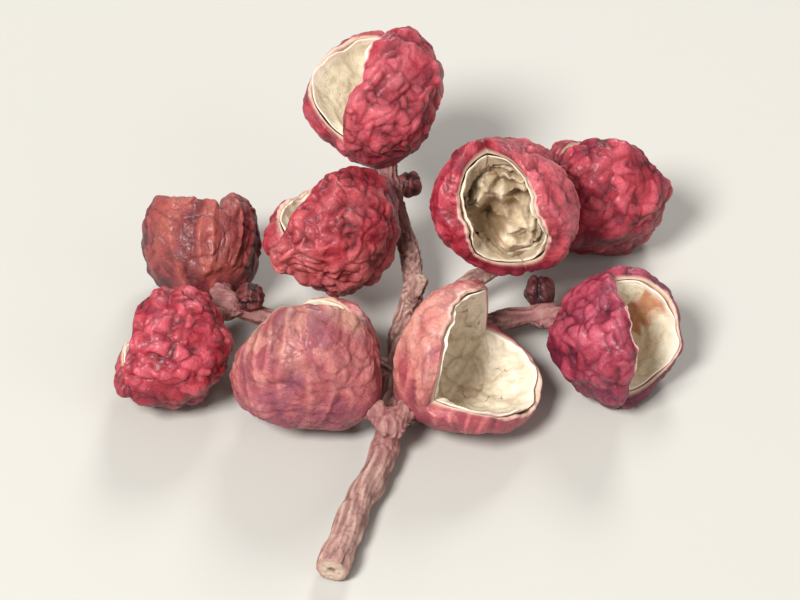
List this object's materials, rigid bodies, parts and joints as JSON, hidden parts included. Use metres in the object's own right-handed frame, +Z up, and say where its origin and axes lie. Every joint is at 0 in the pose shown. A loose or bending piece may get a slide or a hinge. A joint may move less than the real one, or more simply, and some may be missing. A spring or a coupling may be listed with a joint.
{
  "type": "sichuan peppercorn sprig",
  "caption": "Forked woody stalk of dried Sichuan pepper with split, warty red husks that gape to show loose cream linings; lies on a surface as a spice or table garnish.",
  "frame": {"origin": "middle of the sprig's outline seen from above, on the surface that it lies on", "axes": "+Z up from the surface, -Y towards the cut end of the stalk, +X to the right seen from the cut end"},
  "size_m": [0.0211, 0.0219, 0.0092],
  "materials": {
    "stalk": "dry, matt, mauve-brown bark with fine lengthwise wrinkles and a paler cut end",
    "rind": "dry crimson skin with raised oil-gland warts, satin on the warts and matt between them",
    "lining": "thin ivory membrane with a soft satin sheen and faint veins"
  },
  "bodies": {
    "root": {"stalk": "stalk", "husk_front_left": "rind", "lining_front_left": "lining", "husk_front_right": "rind", "lining_front_right": "lining", "husk_right": "rind", "lining_right": "lining", "husk_back_left_near": "rind", "lining_back_left_near": "lining", "husk_back_left_far": "rind", "lining_back_left_far": "lining", "husk_back_right_near": "rind", "lining_back_right_near": "lining", "husk_back_right_far": "rind", "lining_back_right_far": "lining", "husk_left_far": "rind", "lining_left_far": "lining", "husk_left_near": "rind", "lining_left_near": "lining"}
  },
  "joints": []
}
